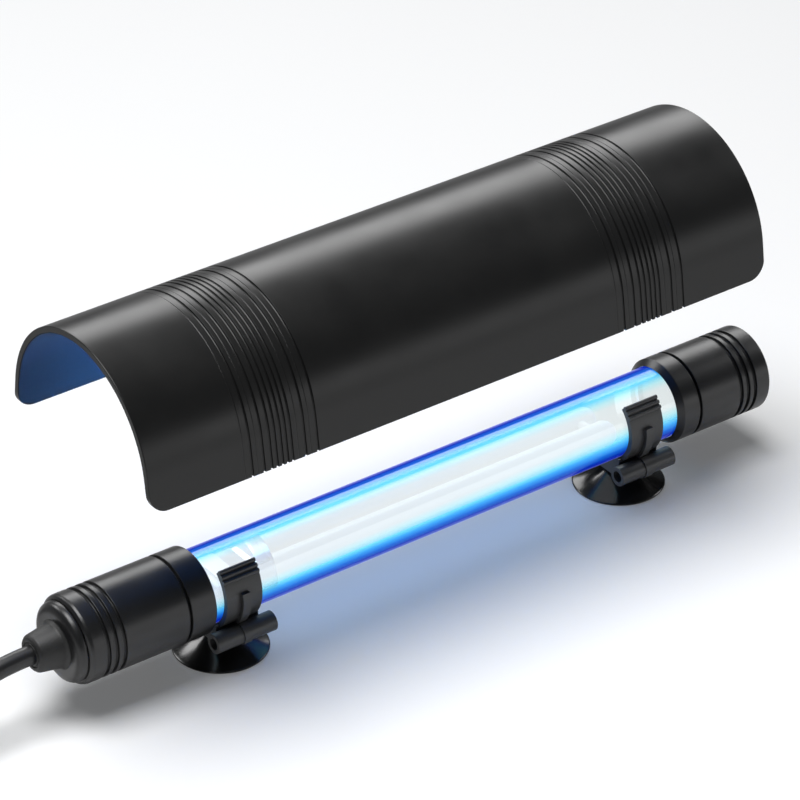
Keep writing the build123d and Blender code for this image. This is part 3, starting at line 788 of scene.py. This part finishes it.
def make_floor():
    """Pale floor; to mirrored rays it shows a painted tone, light in front and darker towards the
    back, which the glossy black parts show as a painted reflection.
    """
    made = Shading("studio_floor")
    cloud = made.noise(1.2, 3.0)
    tone = made.ramp(cloud, [(0.3, (0.86, 0.865, 0.87)), (0.7, (0.88, 0.885, 0.89))])
    split = made.node("ShaderNodeSeparateXYZ")
    made.link(made.coordinates, split.inputs["Vector"])
    # Painted reflection: glossy rays see the floor light in front and darker towards the back.
    backward = made.span(split.outputs["Y"], 0.0, 1.0, -0.05, 0.25)
    painted_mirror_tone = made.node("ShaderNodeMix", data_type="RGBA")
    made.link(made.node("ShaderNodeLightPath").outputs["Is Glossy Ray"], painted_mirror_tone.inputs[0])
    made.link(tone, painted_mirror_tone.inputs[6])
    made.link(made.ramp(backward, [(0.0, (0.9, 0.9, 0.9)), (1.0, (0.34, 0.34, 0.34))]),
              painted_mirror_tone.inputs[7])
    made.link(painted_mirror_tone.outputs[2], made.shader.inputs["Base Color"])
    made.set(Roughness=0.6, Specular_IOR_Level=0.25, Emission_Strength=0.11)
    made.shader.inputs["Emission Color"].default_value = (1.0, 1.0, 1.0, 1.0)
    builder = bmesh.new()
    bmesh.ops.create_circle(builder, cap_ends=True, segments=96, radius=FLOOR_RADIUS)
    mesh = bpy.data.meshes.new("studio_floor")
    builder.to_mesh(mesh)
    builder.free()
    mesh.materials.append(made.material)
    floor = bpy.data.objects.new("studio_floor", mesh)
    SCENE.collection.objects.link(floor)


def make_world():
    """White behind the object, and a dim surround for everything it lights."""
    world = bpy.data.worlds.new("studio")
    world.use_nodes = True
    tree = world.node_tree
    path = tree.nodes.new("ShaderNodeLightPath")
    mix = tree.nodes.new("ShaderNodeMix")
    mix.data_type = "RGBA"
    tree.links.new(path.outputs["Is Camera Ray"], mix.inputs[0])
    mix.inputs[6].default_value = (0.08, 0.085, 0.09, 1.0)
    mix.inputs[7].default_value = (0.97, 0.975, 0.98, 1.0)
    tree.links.new(mix.outputs[2], tree.nodes["Background"].inputs["Color"])
    SCENE.world = world
    SCENE.view_settings.view_transform = "Standard"


def softbox(name, towards, distance, size, power):
    """A rectangular light that faces the lamp from a direction."""
    data = bpy.data.lights.new(name, "AREA")
    data.shape = "RECTANGLE"
    data.size, data.size_y = size
    data.energy = power
    light = bpy.data.objects.new(name, data)
    SCENE.collection.objects.link(light)
    aim = Vector((0.0, 0.0, 0.08))
    direction = Vector(towards).normalized()
    light.location = aim + direction * distance
    light.rotation_mode = "QUATERNION"
    light.rotation_quaternion = direction.to_track_quat("Z", "Y")
    light.visible_camera = False
    return light


def spare_floor(lights):
    """Let these lights fall on the object alone, so that they leave the floor's shadow be."""
    lit = bpy.data.collections.new("object_alone")
    for piece in SCENE.objects:
        if piece.type in ("MESH", "CURVE") and piece.name != "studio_floor":
            lit.objects.link(piece)
    for light in lights:
        light.light_linking.receiver_collection = lit


def glow_strip(name, height, down, power):
    """A blue strip along the sleeve that throws the lamp's light up or down."""
    data = bpy.data.lights.new(name, "AREA")
    data.shape = "RECTANGLE"
    data.size, data.size_y = GLOW_SIZE
    data.energy = power
    data.color = (0.05, 0.30, 1.0)
    light = bpy.data.objects.new(name, data)
    SCENE.collection.objects.link(light)
    light.location = Vector((0.0, 0.0, height)) * MM
    light.rotation_euler = (0.0 if down else math.pi, 0.0, 0.0)
    light.visible_camera = False
    light.visible_transmission = False
    light.visible_glossy = False


def make_lights():
    softbox("key", (-0.20, 0.04, 0.98), 2.2, (1.4, 1.4), 60.0)
    spare_floor([
        softbox("rim", (0.50, 0.67, 0.54), 1.5, (1.6, 0.62), 16.0),
        softbox("front", (0.50, -0.84, 0.06), 2.4, (1.4, 0.8), 5.5),
        softbox("cup_left", (-0.36, 0.78, 0.51), 1.8, (0.6, 0.6), 9.0),
        softbox("cup_right", (0.85, -0.11, 0.51), 1.8, (0.5, 0.5), 7.0),
    ])
    glow_strip("glow_down", AXIS_HEIGHT - GLOW_OFFSET, True, 0.003)
    glow_strip("glow_up", AXIS_HEIGHT + GLOW_OFFSET, False, 3.0)


# --- The object ------------------------------------------------------------------------

make_camera()
cord = make_cord()
relief = make_strain_relief()
make_cable_cap()
make_blind_cap()
make_end_plate()
make_collar("cable_collar_ring", "cable_end_collar", "cable_collar", -130.9, -118.4, 0.8)
make_collar("blind_collar_ring", "blind_end_collar", "blind_collar", 144.3, 133.0, 2.6)
make_sleeve()
make_cup("cable_suction_cup", "cable_end_cup", "cable_cup", CABLE_CLIP_X)
make_cup("blind_suction_cup", "blind_end_cup", "blind_cup", BLIND_CLIP_X)
make_shield()

CARRIED = {
    "cable_end_clip": "clip", "blind_end_clip": "clip",
    "cable_end_cushion": "seal", "blind_end_cushion": "seal",
    "cable_end_seal": "seal", "blind_end_seal": "seal",
    "cable_end_washer": "white", "blind_end_washer": "white",
    "uv_tubes": "glow", "lamp_base": "white", "lamp_pins": "brass", "lamp_socket": "white",
    "lamp_spacer": "clear", "ballast_board": "board", "ballast_choke": "ferrite",
    "ballast_capacitor": "can", "ballast_transistors": "transistor",
    "supply_wires": "cores", "socket_wires": "cores",
    "cord_tie": "tie", "plug_body": "plug", "plug_pins": "nickel",
}
for node, key in CARRIED.items():
    dress(node, key)

make_floor()
make_world()
make_lights()
